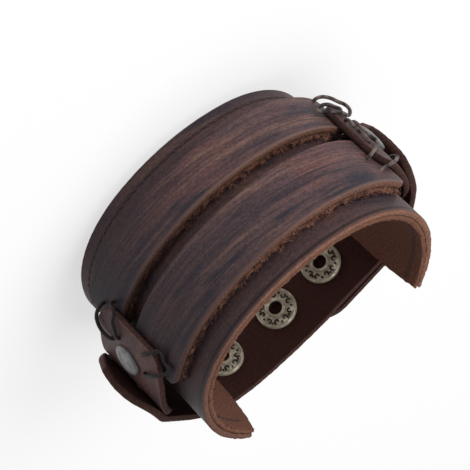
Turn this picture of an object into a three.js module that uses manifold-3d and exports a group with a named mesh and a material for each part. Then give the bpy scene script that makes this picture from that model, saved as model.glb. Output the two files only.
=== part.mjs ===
// A wide leather cuff bracelet, closed: a base band with two raised bands, laced tabs and a snap closure.
// Units are millimetres. Z runs along the wrist, the crown (back of the hand) faces -Y.

import * as THREE from 'three';
import { mergeVertices } from 'three/addons/utils/BufferGeometryUtils.js';
import Module from 'manifold-3d';

const wasm = await Module();
wasm.setup();

// Driving dimensions of the base band and its plan outline
const baseWidth = 50;
const baseHalfLength = 80.8;
const capEndTrim = 0.6;
const crownArc = 18.4;
const crownRadius = 47;
const sideRadius = 31.5;
const outerLeather = 1.8;
const liningLeather = 1.2;
const layerGap = 0.3;
const flareStart = 47.6;
const cornerFlare = 2.8;

// Raised bands
const farBandStart = 8.2;
const farBandWidth = 13.2;
const nearBandStart = 26.2;
const nearBandWidth = 17.2;
const bandHalfLength = 44;
const bandLeather = 1.8;
const bandBacking = 1.4;
const bandCorner = 3;

// Tabs and the straps' shared leather
const tabWidth = 24.6;
const tabLeather = 1.8;
const tabStart = 38;
const tabCorner = 5.5;
const tabEndCorner = 9;
const studSideLift = 2.1;
const tabMeetsStrap = 57;
const tabEnd = 65.5;
const rivetStation = 47.4;
const rivetSink = 0.5;
const strapLeather = 2;
const tongueTop = 54;
const tongueWidth = 25.4;
const tongueCorner = 6;
const studSideBow = 3.3;
const capSideBow = 2.3;
const bowLength = 6.8;
const palmWidth = 23.8;
const studSideTaper = [54, 70];
const capSideTaper = [66, 84];
const innerStrapEnd = 146;
const innerTipRadius = 5;
const outerTipRadius = 9;
const outerStrapTip = 115.5;
const strapSpacing = 1.1;
const strapReach = 6.4;
const strapSettle = 8;

// Rivets
const rivetCapRadius = 4.3;
const rivetDome = 1.2;
const rivetRim = 0.5;
const postRadius = 1.5;
const rivetHeadRadius = 3.4;
const rivetHead = 0.8;
const anchorStation = 61.5;
const anchorHeadRadius = 2.8;
const anchorHead = 0.5;
const holeClearance = 0.3;
const rivetSeat = 0.5;
const headSeat = 0.6;

// Snaps
const snapStations = [91.3, 110.6, 128.9];
const flangeRadius = 5.6;
const flangeHeight = 1.1;
const flangeRim = 0.5;
const flangeCollar = 0.8;
const boreRadius = 1.85;
const barrelWall = 0.5;
const knobRadius = 2.9;
const knobHeight = 2.6;
const studDisc = 0.4;
const studDiscRadius = 4.3;
const socketWall = 0.5;
const capRadius = 6.2;
const capDome = 1.8;

// Lacing
const laceRadius = 0.5;
const laceSides = 6;
const laceHoleClearance = 0.55;
const laceStep = 1.1;

const middle = baseWidth / 2;
const sectionStep = 3.2;
const latheSegments = 18;
const holeSegments = 12;
const drillOvershoot = 0.8;

const materials = {
  leather: { color: 0x4a3834, roughness: 0.62, metalness: 0 },
  lining: { color: 0x5a3528, roughness: 0.8, metalness: 0 },
  strap: { color: 0x42241c, roughness: 0.7, metalness: 0 },
  lace: { color: 0x3a3130, roughness: 0.55, metalness: 0 },
  pewter: { color: 0x6b6a70, roughness: 0.4, metalness: 1 },
  brass: { color: 0x75705c, roughness: 0.4, metalness: 1 },
};

const group = new THREE.Group();

function addPiece(name, geometry, finish) {
  const mesh = new THREE.Mesh(geometry, new THREE.MeshStandardMaterial(materials[finish]));
  mesh.name = name;
  group.add(mesh);
  return mesh;
}

// The plan outline is a closed loop: crown arc, side arc and a short flat at the palm, mirrored in x.
// Station s runs round it from the crown's middle over the stud side, and offset is measured outwards.
const crownTurn = crownArc / crownRadius;
const sideArc = (Math.PI - crownTurn) * sideRadius;
const sideCentre = [
  (crownRadius - sideRadius) * Math.sin(crownTurn),
  crownRadius * (1 - Math.cos(crownTurn)) + sideRadius * Math.cos(crownTurn),
];
const halfLoop = crownArc + sideArc + sideCentre[0];
const loop = 2 * halfLoop;
const capSide = (distance) => loop - distance;

function planFrame(station) {
  const s = THREE.MathUtils.euclideanModulo(station + halfLoop, loop) - halfLoop;
  const side = s < 0 ? -1 : 1;
  const a = Math.abs(s);
  let turn = a / crownRadius;
  let x = crownRadius * Math.sin(turn);
  let y = crownRadius * (1 - Math.cos(turn));
  if (a > crownArc) {
    turn = Math.min(crownTurn + (a - crownArc) / sideRadius, Math.PI);
    x = sideCentre[0] + sideRadius * Math.sin(turn) - Math.max(a - crownArc - sideArc, 0);
    y = sideCentre[1] - sideRadius * Math.cos(turn);
  }
  return { x: side * x, y, nx: side * Math.sin(turn), ny: -Math.cos(turn) };
}

function placeAt(station, offset, z) {
  const f = planFrame(station);
  return new THREE.Vector3(f.x + offset * f.nx, f.y + offset * f.ny, z);
}

// A smooth curve through the rows of a table, for offsets along the loop
function smoothTable(rows, key) {
  const at = rows.map((row) => row.station);
  const value = rows.map((row) => row[key]);
  const chord = at.slice(1).map((s, i) => (value[i + 1] - value[i]) / (s - at[i]));
  const slope = at.map((s, i) => {
    if (i === 0) return chord[0];
    if (i === at.length - 1) return chord[i - 1];
    return (chord[i - 1] + chord[i]) / 2;
  });
  return (s) => {
    let i = at.findIndex((next, k) => k > 0 && s <= next) - 1;
    if (i < 0) i = s <= at[0] ? 0 : at.length - 2;
    const width = at[i + 1] - at[i];
    const t = THREE.MathUtils.clamp((s - at[i]) / width, 0, 1);
    const rise = value[i] * (1 + 2 * t) * (1 - t) ** 2 + value[i + 1] * t * t * (3 - 2 * t);
    return rise + width * (slope[i] * t * (1 - t) ** 2 - slope[i + 1] * t * t * (1 - t));
  };
}

// A leather sheet between two stations, with rounded corners, as one closed body.
// span(s) gives its two edges in z, inner(s, z) and outer(s, z) its faces.
function sheet({ from, to, span, inner, outer, lines, corners = [0, 0] }) {
  const stations = [];
  const cornerSteps = 4;
  for (let k = 0; k < cornerSteps; k += 1) {
    if (corners[0] > 0) stations.push(from + corners[0] * (1 - Math.cos((k / cornerSteps) * Math.PI / 2)));
  }
  const first = from + corners[0];
  const last = to - corners[1];
  const count = Math.ceil((last - first) / sectionStep);
  for (let k = 0; k <= count; k += 1) stations.push(first + ((last - first) * k) / count);
  for (let k = cornerSteps - 1; k >= 0; k -= 1) {
    if (corners[1] > 0) stations.push(to - corners[1] * (1 - Math.cos((k / cornerSteps) * Math.PI / 2)));
  }
  const cornerInset = (distance, radius) => {
    if (distance >= radius) return 0;
    return radius - Math.sqrt(Math.max(radius * radius - (radius - distance) ** 2, 0));
  };
  const ring = 2 * (lines + 1);
  const points = [];
  for (const s of stations) {
    const [low, high] = span(s);
    const inset = cornerInset(s - from, corners[0]) + cornerInset(to - s, corners[1]);
    const edge = [low + inset, high - inset];
    for (let k = 0; k <= lines; k += 1) {
      const z = edge[0] + ((edge[1] - edge[0]) * k) / lines;
      points.push(placeAt(s, outer(s, z), z));
    }
    for (let k = lines; k >= 0; k -= 1) {
      const z = edge[0] + ((edge[1] - edge[0]) * k) / lines;
      points.push(placeAt(s, inner(s, z), z));
    }
  }
  const faces = [];
  for (let i = 0; i + 1 < stations.length; i += 1) {
    for (let k = 0; k < ring; k += 1) {
      const a = i * ring + k;
      const b = i * ring + ((k + 1) % ring);
      if (k <= lines) faces.push(a, a + ring, b, b, a + ring, b + ring);
      else faces.push(a, a + ring, b + ring, a, b + ring, b);
    }
  }
  for (let k = 0; k < lines; k += 1) {
    const back = ring - 1 - k;
    faces.push(k, k + 1, back, k + 1, back - 1, back);
    const end = (stations.length - 1) * ring;
    faces.push(end + k, end + back, end + k + 1, end + k + 1, end + back, end + back - 1);
  }
  const geometry = new THREE.BufferGeometry();
  geometry.setAttribute('position', new THREE.Float32BufferAttribute(points.flatMap((p) => p.toArray()), 3));
  geometry.setIndex(faces);
  return geometry;
}

function toSolid(geometry) {
  const bare = geometry.clone();
  bare.deleteAttribute('normal');
  bare.deleteAttribute('uv');
  const merged = mergeVertices(bare, 1e-4);
  const triVerts = new Uint32Array(merged.index.array);
  const vertProperties = new Float32Array(merged.attributes.position.array);
  return new wasm.Manifold(new wasm.Mesh({ numProp: 3, vertProperties, triVerts }));
}

function fromSolid(solid) {
  const mesh = solid.getMesh();
  const geometry = new THREE.BufferGeometry();
  geometry.setAttribute('position', new THREE.BufferAttribute(new Float32Array(mesh.vertProperties), 3));
  geometry.setIndex(new THREE.BufferAttribute(new Uint32Array(mesh.triVerts), 1));
  return geometry;
}

// A round piece or cutter is made with its height along Y, then seated square on a face of the loop:
// face(s) is the face's offset, and height 0 lies on that face.
function seatOn(geometry, station, z, face) {
  const step = 0.5;
  const before = placeAt(station - step, face(station - step), 0);
  const along = placeAt(station + step, face(station + step), 0).sub(before);
  const outwards = new THREE.Vector3(along.y, -along.x, 0).normalize();
  geometry.applyQuaternion(new THREE.Quaternion().setFromUnitVectors(new THREE.Vector3(0, 1, 0), outwards));
  const place = placeAt(station, face(station), z);
  geometry.translate(place.x, place.y, place.z);
  return geometry;
}

function lathe(profile) {
  return new THREE.LatheGeometry(profile.map(([r, h]) => new THREE.Vector2(r, h)), latheSegments);
}

// A cutter for a hole through leather that lies from height foot to height foot + thickness over a face
function drill(station, z, face, thickness, radius, foot = 0) {
  const reach = radius / Math.cos(Math.PI / holeSegments);
  const cutter = new THREE.CylinderGeometry(reach, reach, thickness + 2 * drillOvershoot, holeSegments);
  cutter.translate(0, foot + thickness / 2, 0);
  return seatOn(cutter, station, z, face);
}

function cut(geometry, cutters) {
  return fromSolid(cutters.reduce((solid, cutter) => solid.subtract(toSolid(cutter)), toSolid(geometry)));
}

// Base band: its corners curl outwards towards both ends
function flare(s, z) {
  const along = Math.max(Math.abs(s) - flareStart, 0) / (baseHalfLength - flareStart);
  return cornerFlare * along ** 2 * (Math.abs(z - middle) / middle) ** 3;
}

const liningOuter = -outerLeather - layerGap;
const liningInner = liningOuter - liningLeather;
const rivetHole = postRadius + holeClearance;
const sides = [
  { name: 'stud_side', sign: 1 },
  { name: 'cap_side', sign: -1 },
];
const tabMiddle = (sign) => middle + (sign > 0 ? studSideLift : 0);

for (const layer of [
  { name: 'base_outer', top: 0, bottom: -outerLeather, finish: 'leather' },
  { name: 'base_lining', top: liningOuter, bottom: liningInner, finish: 'lining' },
]) {
  const blank = sheet({
    from: capEndTrim - baseHalfLength,
    to: baseHalfLength,
    span: () => [0, baseWidth],
    inner: (s, z) => layer.bottom + flare(s, z),
    outer: (s, z) => layer.top + flare(s, z),
    lines: 4,
  });
  const holes = sides.map(({ sign }) =>
    drill(sign * rivetStation, tabMiddle(sign), () => layer.bottom, layer.top - layer.bottom, rivetHole));
  addPiece(layer.name, cut(blank, holes), layer.finish);
}

// Raised bands: a backing and a top leather, each with rounded corners
const bandBase = layerGap + bandBacking + layerGap;
const bandTop = bandBase + bandLeather;
const bands = [
  { name: 'band_far', start: farBandStart, width: farBandWidth },
  { name: 'band_near', start: nearBandStart, width: nearBandWidth },
];

// Closure straps: rows chosen by hand give the offset of their inner faces as a share of strapReach,
// at a place along the loop as a share of its half length
const innerStrapRows = [
  { along: 0.487, share: 0.99 },
  { along: 0.541, share: 0.97 },
  { along: 0.595, share: 0.85 },
  { along: 0.649, share: 0.74 },
  { along: 0.703, share: 0.665 },
  { along: 0.757, share: 0.53 },
  { along: 0.82, share: 0.17 },
  { along: 0.91, share: -0.24 },
  { along: 0.992, share: -0.38 },
  { along: 1.068, share: -0.55 },
  { along: 1.118, share: -0.64 },
  { along: 1.167, share: -0.57 },
  { along: 1.217, share: -0.32 },
  { along: 1.273, share: 0.09 },
  { along: 1.325, share: 0.13 },
];
const outerStrapRows = [
  { along: 1.379, share: 0.53 },
  { along: 1.424, share: 0.6 },
  { along: 1.469, share: 0.73 },
  { along: 1.514, share: 0.88 },
];
const strapPitch = strapLeather + strapSpacing;
const seated = ({ along, share }) => ({ station: along * halfLoop, offset: share * strapReach });
const innerTable = innerStrapRows.map(seated);
const outerTable = outerStrapRows.map(seated);
const overlapTable = innerTable
  .filter((row) => row.station > outerStrapTip - strapSettle)
  .map((row) => ({ station: row.station, offset: row.offset + strapPitch }));
const innerFace = smoothTable(innerTable, 'offset');
const outerFace = smoothTable([...overlapTable, ...outerTable], 'offset');
const strapSides = [
  { name: 'stud_side', sign: 1, tongue: 'inner_strap', face: innerFace },
  { name: 'cap_side', sign: -1, tongue: 'outer_strap', face: (s) => outerFace(loop + s) },
];

// The stud side's tab and tongue sit a little nearer the hand; the strap comes back to the middle
// and narrows as it leaves the tab, so the share of that change grows from 0 to 1
function taper(s) {
  const [from, to] = s > 0 ? studSideTaper : capSideTaper;
  return THREE.MathUtils.smoothstep(Math.abs(s), from, to);
}

function strapMiddle(s) {
  return THREE.MathUtils.lerp(tabMiddle(s), middle, taper(s));
}

// Near its free top a tongue bows away from the tab, most in the middle of its width
function bow(s, z) {
  const down = Math.min(Math.max((Math.abs(s) - tongueTop) / bowLength, 0), 1);
  const across = (z - strapMiddle(s)) / (tongueWidth / 2);
  return (s > 0 ? studSideBow : capSideBow) * (1 - down) ** 2 * (1 - across ** 2);
}

function strapSpan(s) {
  const half = THREE.MathUtils.lerp(tongueWidth, palmWidth, taper(s)) / 2;
  return [strapMiddle(s) - half, strapMiddle(s) + half];
}

const laceHole = laceRadius + laceHoleClearance;

// Tab faces: over the bands at first, sunk a little at the rivet, then along the strap's inner face
function tabInner({ sign, face }) {
  const onBand = bandTop + layerGap;
  const underStrap = (s) => face(sign * s) - layerGap - tabLeather;
  const rows = [
    { station: tabStart, offset: onBand },
    { station: bandHalfLength, offset: onBand },
    { station: rivetStation, offset: onBand - rivetSink },
    { station: tabMeetsStrap, offset: underStrap(tabMeetsStrap) },
    { station: anchorStation, offset: underStrap(anchorStation) },
    { station: tabEnd, offset: underStrap(tabEnd) },
  ];
  return smoothTable(rows, 'offset');
}

// Lacing routes: station from the crown, z, and height above the base band, chosen by hand
const laces = [
  {
    name: 'lace_stud_side_far',
    sign: 1,
    route: [
      [37.3, 17.4, 2.6], [37.3, 17.4, 4.4], [36.6, 18.6, 6], [36.4, 20.4, 6.8], [37.5, 21, 6.8],
      [39, 21, 6.8], [40.2, 21.9, 6.8], [41.2, 22.8, 6.8], [42.3, 23.5, 6.6], [42.9, 23.7, 5.4],
      [43, 23.7, 3.6], [43.5, 23.2, 2.6], [44.4, 22.4, 2.4], [45, 21.8, 3.2], [45.1, 21.6, 5],
      [45.1, 20.9, 6.2], [45, 19.2, 6.7], [44.6, 17.4, 6.8], [43.4, 15.9, 6.8], [41.8, 15.3, 6.8],
      [40.7, 14.8, 6.1], [40.2, 14.2, 4.4], [40.2, 14.2, 2.6],
    ],
  },
  {
    name: 'lace_stud_side_near',
    sign: 1,
    route: [
      [40.6, 32.6, 4.8], [40.5, 32.7, 6], [39, 34, 6.9], [37.4, 35.6, 6.7], [36.3, 36.9, 5.7],
      [36.7, 37.7, 5], [37.9, 38.4, 4.7], [38.5, 39.4, 4.6], [38.4, 40.6, 4.6], [39.2, 41.3, 4.8],
      [40.3, 40.7, 5.5], [41.6, 39.1, 6.8], [43.5, 36.7, 6.9], [45, 34.9, 6.6], [45.4, 34.2, 5.6],
      [45.4, 34.2, 4.6],
    ],
  },
  {
    name: 'lace_cap_side_far',
    sign: -1,
    route: [
      [40, 9.9, 2.6], [40, 9.9, 4.3], [41, 10.1, 5.6], [42.5, 11.3, 6.7], [43.2, 13.6, 7.4],
      [43.6, 15.7, 8], [43.6, 17.5, 7.8], [43, 18.6, 7], [41.6, 18.9, 6.8], [39.6, 18.3, 6.8],
      [37.4, 17.7, 6.3], [35.9, 16.9, 5.4], [35.2, 15.7, 4.9], [35.9, 14.8, 5.3], [37.4, 15.2, 6.6],
      [39.4, 16.3, 6.9], [41, 17, 6.8], [41.8, 17.2, 5.8], [41.9, 17.2, 4.6],
    ],
  },
  {
    name: 'lace_cap_side_run',
    sign: -1,
    route: [
      [39.9, 20.4, 4.6], [39.8, 20.6, 5.9], [39.2, 21.8, 6.8], [39, 24, 6.8], [39, 26.5, 6.8],
      [39.1, 28.6, 6.8], [39.5, 29.9, 6.1], [39.7, 30.2, 4.6],
    ],
  },
  {
    name: 'lace_cap_side_near_1',
    sign: -1,
    route: [
      [42.6, 20.6, 4.6], [42.5, 20.8, 6], [42, 22, 6.8], [41.8, 24.5, 6.8], [41.9, 27.2, 6.8],
      [42.4, 29, 6.9], [42, 30.4, 7], [40.6, 31.8, 6.9], [38.8, 33, 6.7], [37.1, 34, 5.6],
      [36.3, 34.4, 4.2], [36.2, 34.5, 2.6],
    ],
  },
  {
    name: 'lace_cap_side_near_2',
    sign: -1,
    route: [
      [45.2, 33.6, 4.6], [45.4, 34, 6.2], [45.4, 35, 6.9], [43.8, 36.4, 6.9], [41.2, 37.9, 6.2],
      [38.8, 38.4, 4.9], [37.3, 38.7, 4.1], [37, 38.7, 2.6],
    ],
  },
];
const laceHoles = [
  { piece: 'tab', sign: 1, station: 42.9, z: 23.7 },
  { piece: 'tab', sign: 1, station: 45.1, z: 21.6 },
  { piece: 'tab', sign: 1, station: 40.6, z: 32.6 },
  { piece: 'tab', sign: 1, station: 45.4, z: 34.2 },
  { piece: 'band_far', sign: 1, station: 37.3, z: 17.4 },
  { piece: 'band_far', sign: 1, station: 40.2, z: 14.2 },
  { piece: 'band_far', sign: -1, station: 40, z: 9.9 },
  { piece: 'tab', sign: -1, station: 41.9, z: 17.2 },
  { piece: 'tab', sign: -1, station: 39.9, z: 20.4 },
  { piece: 'tab', sign: -1, station: 42.6, z: 20.6 },
  { piece: 'tab', sign: -1, station: 39.7, z: 30.2 },
  { piece: 'tab', sign: -1, station: 45.2, z: 33.7 },
  { piece: 'band_near', sign: -1, station: 36.2, z: 34.5 },
  { piece: 'band_near', sign: -1, station: 37, z: 38.7 },
];

function holesOf(piece, face, thickness) {
  return laceHoles
    .filter((hole) => piece === hole.piece)
    .map((hole) => drill(hole.sign * hole.station, hole.z, face, thickness, laceHole));
}

for (const band of bands) {
  const shape = {
    from: -bandHalfLength,
    to: bandHalfLength,
    span: () => [band.start, band.start + band.width],
    corners: [bandCorner, bandCorner],
  };
  const backing = sheet({ ...shape, inner: () => layerGap, outer: () => layerGap + bandBacking, lines: 1 });
  addPiece(`${band.name}_backing`, backing, 'lining');
  const top = sheet({ ...shape, inner: () => bandBase, outer: () => bandTop, lines: 2 });
  const holes = holesOf(band.name, () => bandBase, bandLeather);
  addPiece(band.name, cut(top, holes), 'leather');
}

for (const side of strapSides) {
  const { sign, name } = side;
  const inner = tabInner(side);
  const face = (s) => inner(Math.abs(s));
  const blank = sheet({
    from: sign > 0 ? tabStart : -tabEnd,
    to: sign > 0 ? tabEnd : -tabStart,
    span: () => [tabMiddle(sign) - tabWidth / 2, tabMiddle(sign) + tabWidth / 2],
    inner: face,
    outer: (s) => face(s) + tabLeather,
    lines: 2,
    corners: sign > 0 ? [tabCorner, tabEndCorner] : [tabEndCorner, tabCorner],
  });
  const lacing = laceHoles
    .filter((hole) => hole.piece === 'tab' && hole.sign === sign)
    .map((hole) => drill(sign * hole.station, hole.z, face, tabLeather, laceHole));
  const rivets = [
    drill(sign * rivetStation, tabMiddle(sign), () => inner(rivetStation), tabLeather, rivetHole),
    drill(sign * anchorStation, tabMiddle(sign), side.face, tabLeather, rivetHole, -layerGap - tabLeather),
  ];
  addPiece(`tab_${name}`, cut(blank, [...lacing, ...rivets]), 'leather');

  // Domed rivet through tab and base, its head height 0 on the tab's outer face
  const capFoot = rivetSeat;
  const tabTop = inner(rivetStation) + tabLeather;
  const headTop = liningInner - headSeat - tabTop;
  const domeRows = [0.3, 0.6, 0.85].map((share) =>
    [rivetCapRadius * share, capFoot + rivetRim + (rivetDome - rivetRim) * (1 - share ** 2)]);
  const rivet = lathe([
    [0, headTop - rivetHead],
    [rivetHeadRadius, headTop - rivetHead],
    [rivetHeadRadius, headTop],
    [postRadius, headTop],
    [postRadius, capFoot],
    [rivetCapRadius, capFoot],
    [rivetCapRadius, capFoot + rivetRim],
    ...domeRows.reverse(),
    [0, capFoot + rivetDome],
  ]);
  const tabFace = () => tabTop;
  addPiece(`rivet_${name}`, seatOn(rivet, sign * rivetStation, tabMiddle(sign), tabFace), 'pewter');

  // Hidden plain rivet that joins tab and strap, height 0 on the strap's inner face
  const anchorFoot = -layerGap - tabLeather - headSeat;
  const anchorTop = strapLeather + layerGap;
  const anchor = lathe([
    [0, anchorFoot - anchorHead],
    [anchorHeadRadius, anchorFoot - anchorHead],
    [anchorHeadRadius, anchorFoot],
    [postRadius, anchorFoot],
    [postRadius, anchorTop],
    [anchorHeadRadius, anchorTop],
    [anchorHeadRadius, anchorTop + anchorHead],
    [0, anchorTop + anchorHead],
  ]);
  const anchored = seatOn(anchor, sign * anchorStation, tabMiddle(sign), side.face);
  addPiece(`anchor_rivet_${name}`, anchored, 'pewter');
}

// Inner strap with its three studs; the outer strap closes on the third
const snapHole = boreRadius + barrelWall + holeClearance;
const innerStrap = sheet({
  from: tongueTop,
  to: innerStrapEnd,
  span: strapSpan,
  inner: (s, z) => innerFace(s) + bow(s, z),
  outer: (s, z) => innerFace(s) + bow(s, z) + strapLeather,
  lines: 4,
  corners: [tongueCorner, innerTipRadius],
});
addPiece('inner_strap', cut(innerStrap, [
  drill(anchorStation, tabMiddle(1), innerFace, strapLeather, rivetHole),
  ...snapStations.map((station) => drill(station, middle, innerFace, strapLeather, snapHole)),
]), 'strap');

const outerStrap = sheet({
  from: outerStrapTip,
  to: capSide(tongueTop),
  span: (s) => strapSpan(s - loop),
  inner: (s, z) => outerFace(s) + bow(s - loop, z),
  outer: (s, z) => outerFace(s) + bow(s - loop, z) + strapLeather,
  lines: 4,
  corners: [outerTipRadius, tongueCorner],
});
const closedSnap = snapStations[snapStations.length - 1];
const socketRadius = knobRadius + holeClearance;
addPiece('outer_strap', cut(outerStrap, [
  drill(capSide(anchorStation), tabMiddle(-1), outerFace, strapLeather, rivetHole),
  drill(closedSnap, middle, innerFace, strapLeather, socketRadius + socketWall + holeClearance, strapPitch),
]), 'strap');

// Snap stud, eyelet and stud clinched together: height 0 on the inner strap's inner face
const flangeFoot = -headSeat;
const flangeFace = flangeFoot - flangeHeight / 2;
const collarRadius = boreRadius + flangeCollar;
const discFoot = strapLeather + layerGap;
const knobTop = discFoot + studDisc + knobHeight;
const barrelRadius = boreRadius + barrelWall;
snapStations.forEach((station, index) => {
  const stud = lathe([
    [0, knobTop - barrelWall],
    [boreRadius, knobTop - barrelWall],
    [boreRadius, flangeFoot - flangeHeight],
    [collarRadius, flangeFoot - flangeHeight],
    [collarRadius + flangeRim, flangeFace],
    [flangeRadius - flangeRim, flangeFace],
    [flangeRadius - flangeRim / 2, flangeFoot - flangeHeight * 0.75],
    [flangeRadius, flangeFoot],
    [barrelRadius, flangeFoot],
    [barrelRadius, discFoot],
    [studDiscRadius, discFoot],
    [studDiscRadius, discFoot + studDisc],
    [knobRadius, discFoot + studDisc],
    [knobRadius, knobTop],
    [0, knobTop],
  ]);
  addPiece(`snap_stud_${index + 1}`, seatOn(stud, station, middle, innerFace), 'brass');
});

// Cap and socket of the outer strap, drawn in the third stud's own frame
const capFoot = strapPitch + strapLeather + layerGap;
const domeShares = [0.95, 0.7, 0.4];
const socketFloor = knobTop + holeClearance;
const snapCap = lathe([
  [0, socketFloor],
  [socketRadius, socketFloor],
  [socketRadius, strapPitch],
  [socketRadius + socketWall, strapPitch],
  [socketRadius + socketWall, capFoot],
  [capRadius, capFoot],
  ...domeShares.map((share) => [capRadius * share, capFoot + socketWall + capDome * (1 - share ** 2)]),
  [0, capFoot + socketWall + capDome],
]);
addPiece('snap_cap', seatOn(snapCap, closedSnap, middle, innerFace), 'brass');

// Lacing tubes
const laceSection = new THREE.Shape(Array.from({ length: laceSides }, (_, k) => {
  const turn = (2 * Math.PI * k) / laceSides;
  return new THREE.Vector2(laceRadius * Math.cos(turn), laceRadius * Math.sin(turn));
}));
for (const lace of laces) {
  const points = lace.route.map(([station, z, height]) => placeAt(lace.sign * station, height, z));
  const extrudePath = new THREE.CatmullRomCurve3(points, false, 'centripetal');
  const steps = Math.ceil(extrudePath.getLength() / laceStep);
  addPiece(lace.name, new THREE.ExtrudeGeometry(laceSection, { steps, extrudePath }), 'lace');
}

// The frame's origin is the middle of the bounding box, at the edge that the cuff rests on
const bounds = new THREE.Box3().setFromObject(group);
group.position.set(-(bounds.min.x + bounds.max.x) / 2, -(bounds.min.y + bounds.max.y) / 2, -bounds.min.z);

export default group;
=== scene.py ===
# A wide leather cuff bracelet with two raised bands, laced tabs and a snap closure, lying on its edge.
import math
import random

import bmesh
import bpy
from mathutils import Matrix, Quaternion, Vector, noise


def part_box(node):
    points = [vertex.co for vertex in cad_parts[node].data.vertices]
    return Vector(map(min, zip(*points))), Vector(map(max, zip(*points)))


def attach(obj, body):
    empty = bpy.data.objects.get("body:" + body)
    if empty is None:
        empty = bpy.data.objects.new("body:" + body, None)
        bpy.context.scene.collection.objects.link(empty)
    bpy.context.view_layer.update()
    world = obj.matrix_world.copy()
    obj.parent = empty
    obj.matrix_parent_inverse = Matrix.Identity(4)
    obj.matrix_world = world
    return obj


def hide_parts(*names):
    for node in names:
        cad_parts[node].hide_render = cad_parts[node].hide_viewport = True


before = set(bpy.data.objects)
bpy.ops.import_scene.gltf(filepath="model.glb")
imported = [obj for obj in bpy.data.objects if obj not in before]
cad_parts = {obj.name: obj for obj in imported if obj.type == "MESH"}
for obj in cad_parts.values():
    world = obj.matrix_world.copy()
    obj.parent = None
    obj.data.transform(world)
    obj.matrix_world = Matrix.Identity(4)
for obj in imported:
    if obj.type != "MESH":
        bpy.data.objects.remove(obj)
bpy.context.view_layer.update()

mm = 0.001

# Camera: it looks down on the crown from a little towards the stud side, close to the photograph's lens.
# The photograph shows the cuff standing slantwise, so the camera is rolled about its own line of sight.
camera_target = Vector((1.04, -17.7, 25.0)) * mm
camera_azimuth = math.radians(9.46)
camera_elevation = math.radians(27.51)
camera_roll = math.radians(134.61)
camera_distance = 700 * mm
camera_lens = 215
camera_sensor = 36
camera_back = Vector((
    math.sin(camera_azimuth) * math.cos(camera_elevation),
    -math.cos(camera_azimuth) * math.cos(camera_elevation),
    math.sin(camera_elevation),
))
bpy.ops.object.select_all(action="DESELECT")
bpy.ops.object.camera_add(location=camera_target + camera_distance * camera_back)
camera = bpy.context.object
camera.rotation_mode = "QUATERNION"
camera.rotation_quaternion = camera_back.to_track_quat("Z", "Y") @ Quaternion((0, 0, 1), camera_roll)
camera.data.sensor_width = camera_sensor
camera.data.lens = camera_lens
camera.data.clip_end = 20
bpy.context.scene.camera = camera

# Studio: a white floor and soft white light. The key stands over the cap side, so that the stud side
# falls off a little, and a wide fill from the front keeps the inside of the cuff readable.
bpy.context.scene.view_settings.view_transform = "Standard"
floor_size = 8
floor_grey = (0.40, 0.40, 0.40, 1)
floor_glow = 0.62
room_light = 0.27


def new_material(name):
    material = bpy.data.materials.new(name)
    material.use_nodes = True
    tree = material.node_tree
    return material, tree, tree.nodes["Principled BSDF"]


bpy.ops.mesh.primitive_plane_add(size=floor_size)
floor = bpy.context.object
floor.name = "floor"
floor_paint, _, floor_shader = new_material("floor_paint")
floor_shader.inputs["Base Color"].default_value = floor_grey
floor_shader.inputs["Emission Color"].default_value = (1, 1, 1, 1)
floor_shader.inputs["Emission Strength"].default_value = floor_glow
floor_shader.inputs["Roughness"].default_value = 0.9
floor_shader.inputs["Specular IOR Level"].default_value = 0.1
floor.data.materials.append(floor_paint)

world = bpy.data.worlds.new("studio")
world.use_nodes = True
world.node_tree.nodes["Background"].inputs["Color"].default_value = (1, 1, 1, 1)
world.node_tree.nodes["Background"].inputs["Strength"].default_value = room_light
bpy.context.scene.world = world

lamps = [
    {"name": "key", "place": (-1.0, -0.55, 0.75), "size": 1.5, "power": 14.5},
    {"name": "fill", "place": (0.6, -1.2, 0.7), "size": 1.2, "power": 0.8},
    {"name": "top", "place": (0.0, 0.1, 1.3), "size": 0.9, "power": 7},
]
for lamp in lamps:
    bpy.ops.object.light_add(type="AREA", location=lamp["place"])
    light = bpy.context.object
    light.name = lamp["name"]
    light.data.size = lamp["size"]
    light.data.energy = lamp["power"]
    light.rotation_mode = "QUATERNION"
    light.rotation_quaternion = (Vector(lamp["place"]) - camera_target).to_track_quat("Z", "Y")

# Base band: two layers of leather, cut as a flat strip and bent round the wrist. The outline is a crown
# arc, two side arcs and a short flat at the palm; station runs round it and offset is measured outwards.
crown_arc = 18.4 * mm
crown_radius = 47 * mm
side_radius = 31.5 * mm
crown_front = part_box("base_outer")[0].y
loop_middle = (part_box("base_outer")[0].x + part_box("base_outer")[1].x) / 2
base_low, base_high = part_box("base_outer")[0].z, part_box("base_outer")[1].z
base_middle = (base_low + base_high) / 2
base_half_length = 80.8 * mm
cap_end_trim = 0.6 * mm
outer_leather = 1.8 * mm
lining_leather = 1.2 * mm
layer_gap = 0.3 * mm
flare_start = 47.6 * mm
corner_flare = 2.8 * mm

crown_turn = crown_arc / crown_radius
side_arc = (math.pi - crown_turn) * side_radius
side_x = (crown_radius - side_radius) * math.sin(crown_turn)
side_y = crown_radius * (1 - math.cos(crown_turn)) + side_radius * math.cos(crown_turn)
half_loop = crown_arc + side_arc + side_x
loop = 2 * half_loop


def loop_place(station, offset, height):
    """The point at a station round the loop, an offset outwards from it and a height."""
    s = (station + half_loop) % loop - half_loop
    side = -1 if s < 0 else 1
    along = abs(s)
    turn = along / crown_radius
    x = crown_radius * math.sin(turn)
    y = crown_radius * (1 - math.cos(turn))
    if along > crown_arc:
        turn = min(crown_turn + (along - crown_arc) / side_radius, math.pi)
        x = side_x + side_radius * math.sin(turn) - max(along - crown_arc - side_arc, 0)
        y = side_y - side_radius * math.cos(turn)
    x = loop_middle + side * (x + offset * math.sin(turn))
    return Vector((x, crown_front + y - offset * math.cos(turn), height))


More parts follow.
